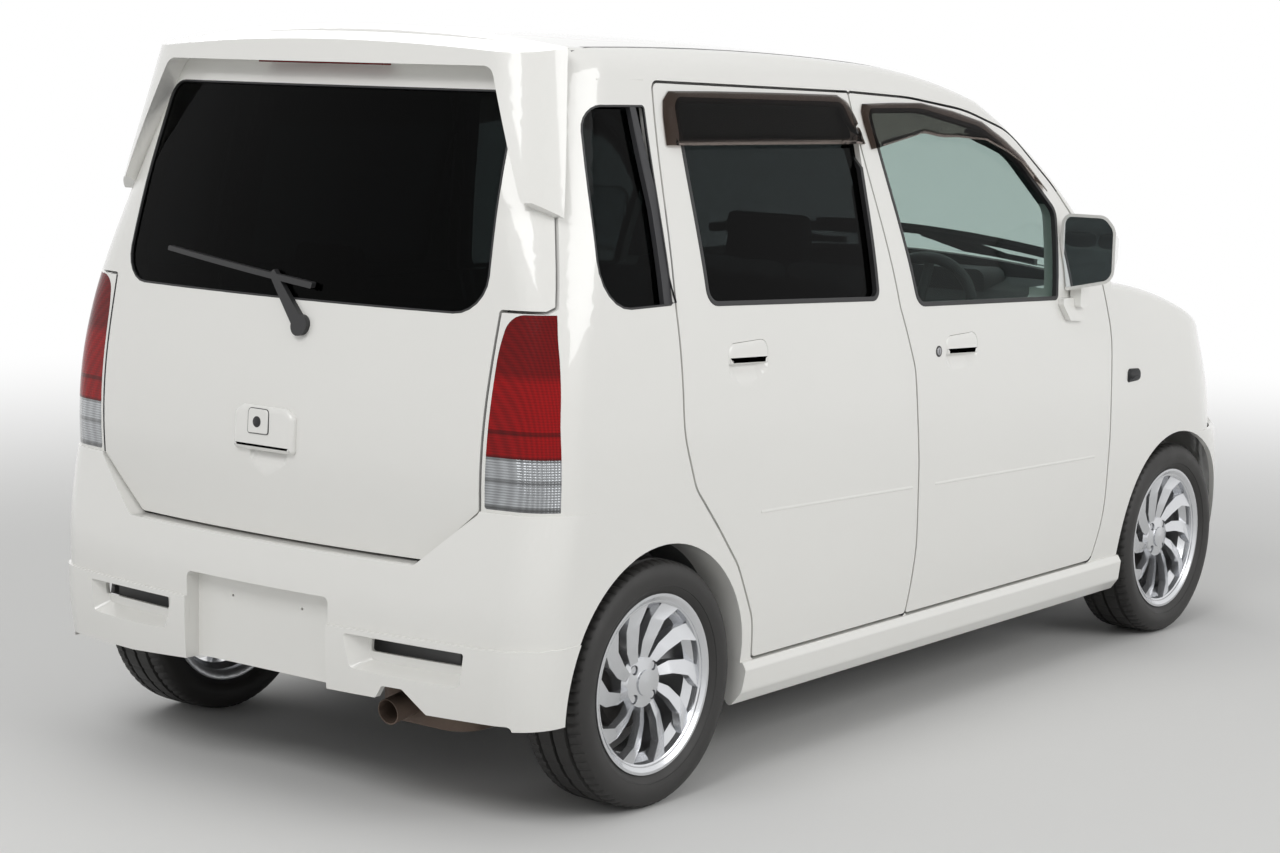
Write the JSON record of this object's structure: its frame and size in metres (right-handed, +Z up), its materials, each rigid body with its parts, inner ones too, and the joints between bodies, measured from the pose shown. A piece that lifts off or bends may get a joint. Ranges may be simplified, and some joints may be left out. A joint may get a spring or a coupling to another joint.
{
  "type": "five-door kei car",
  "caption": "Small tall hatchback with opening doors, tailgate and bonnet, steered front wheels, hollow cabin with seats, curved-blade alloy wheels and a roof spoiler.",
  "frame": {"origin": "on the ground under the middle of the car's length and width", "axes": "+X forward along the car, +Y to its left, +Z up"},
  "size_m": [3.3903, 1.732, 1.6432],
  "materials": {
    "paint": "gloss off-white paint",
    "glass_dark": "tinted glass",
    "glass_clear": "clear laminated glass",
    "lamp_red": "red and clear lamp lens",
    "lamp_clear": "clear lamp lens",
    "black_plastic": "grained black plastic",
    "chassis": "black chassis paint",
    "engine": "cast aluminium",
    "steel": "plain steel",
    "alloy": "silver painted cast alloy",
    "tyre": "black tyre rubber",
    "interior": "grey interior plastic",
    "seat_cloth": "grey woven seat cloth",
    "floor_metal": "painted floor sheet"
  },
  "bodies": {
    "body": {"side_frame_right": "paint", "side_frame_left": "paint", "roof_panel": "paint", "fixed_glass": "glass_clear", "headlamps": "lamp_clear", "front_fenders": "paint", "front_grille": "black_plastic", "rear_bumper": "paint", "front_bumper": "paint", "tail_lamps": "lamp_red", "side_skirts": "paint", "floor_pan": "floor_metal", "bulkhead": "chassis", "front_frame": "chassis", "powertrain": "engine", "exhaust": "steel", "fuel_tank": "black_plastic", "rear_axle": "chassis", "springs_dampers": "chassis", "dashboard": "interior", "seat_frames": "interior", "front_seats": "seat_cloth", "rear_seat": "seat_cloth", "front_wipers": "black_plastic"},
    "tailgate": {"tailgate": "paint", "tailgate_glass": "glass_dark", "tailgate_spoiler": "paint", "stop_lamp": "lamp_red", "rear_wiper": "black_plastic"},
    "bonnet": {"bonnet": "paint"},
    "door_rear_right": {"door_rear_right": "paint", "door_glass_rear_right": "glass_dark"},
    "door_front_right": {"door_front_right": "paint", "door_glass_front_right": "glass_clear", "mirror_right": "paint"},
    "knuckle_right": {"knuckle_right": "chassis"},
    "wheel_front_right": {"rim_front_right": "alloy", "tyre_front_right": "tyre"},
    "wheel_rear_right": {"rim_rear_right": "alloy", "tyre_rear_right": "tyre"},
    "door_rear_left": {"door_rear_left": "paint", "door_glass_rear_left": "glass_dark"},
    "door_front_left": {"door_front_left": "paint", "door_glass_front_left": "glass_clear", "mirror_left": "paint"},
    "knuckle_left": {"knuckle_left": "chassis"},
    "wheel_front_left": {"rim_front_left": "alloy", "tyre_front_left": "tyre"},
    "wheel_rear_left": {"rim_rear_left": "alloy", "tyre_rear_left": "tyre"},
    "steering_wheel": {"steering_wheel": "interior"}
  },
  "joints": [
    {"name": "tailgate_hinge", "type": "hinge", "parent": "body", "child": "tailgate", "pos_m": [-1.3675, 0, 1.64], "axis": [0, 1, 0], "range_deg": [0, 80]},
    {"name": "bonnet_hinge", "type": "hinge", "parent": "body", "child": "bonnet", "pos_m": [0.8285, 0, 1.055], "axis": [0, -1, 0], "range_deg": [0, 50]},
    {"name": "door_front_right_hinge", "type": "hinge", "parent": "body", "child": "door_front_right", "pos_m": [0.7105, -0.741, 0.7], "axis": [0, 0.0262, 0.9997], "range_deg": [0, 65]},
    {"name": "door_rear_right_hinge", "type": "hinge", "parent": "body", "child": "door_rear_right", "pos_m": [-0.2395, -0.741, 0.7], "axis": [0, 0.0262, 0.9997], "range_deg": [0, 65]},
    {"name": "steer_right", "type": "hinge", "parent": "body", "child": "knuckle_right", "pos_m": [1.1525, -0.6, 0.165], "axis": [0, 0.1577, 0.9875], "range_deg": [-35, 35]},
    {"name": "spin_front_right", "type": "hinge", "parent": "knuckle_right", "child": "wheel_front_right", "pos_m": [1.1525, -0.643, 0.266], "axis": [0, 1, 0], "continuous": true},
    {"name": "spin_rear_right", "type": "hinge", "parent": "body", "child": "wheel_rear_right", "pos_m": [-1.2075, -0.643, 0.266], "axis": [0, 1, 0], "continuous": true},
    {"name": "door_front_left_hinge", "type": "hinge", "parent": "body", "child": "door_front_left", "pos_m": [0.7105, 0.741, 0.7], "axis": [0, 0.0262, -0.9997], "range_deg": [0, 65]},
    {"name": "door_rear_left_hinge", "type": "hinge", "parent": "body", "child": "door_rear_left", "pos_m": [-0.2395, 0.741, 0.7], "axis": [0, 0.0262, -0.9997], "range_deg": [0, 65]},
    {"name": "steer_left", "type": "hinge", "parent": "body", "child": "knuckle_left", "pos_m": [1.1525, 0.6, 0.165], "axis": [0, -0.1577, 0.9875], "range_deg": [-35, 35]},
    {"name": "spin_front_left", "type": "hinge", "parent": "knuckle_left", "child": "wheel_front_left", "pos_m": [1.1525, 0.643, 0.266], "axis": [0, 1, 0], "continuous": true},
    {"name": "spin_rear_left", "type": "hinge", "parent": "body", "child": "wheel_rear_left", "pos_m": [-1.2075, 0.643, 0.266], "axis": [0, 1, 0], "continuous": true},
    {"name": "steering_wheel_turn", "type": "hinge", "parent": "body", "child": "steering_wheel", "pos_m": [0.3825, -0.33, 0.905], "axis": [-0.9135, 0, 0.4067], "range_deg": [-490, 490]}
  ],
  "couplings": [
    {"joint": "steer_left", "follows": "steer_right", "ratio": 1},
    {"joint": "steering_wheel_turn", "follows": "steer_right", "ratio": 14}
  ]
}
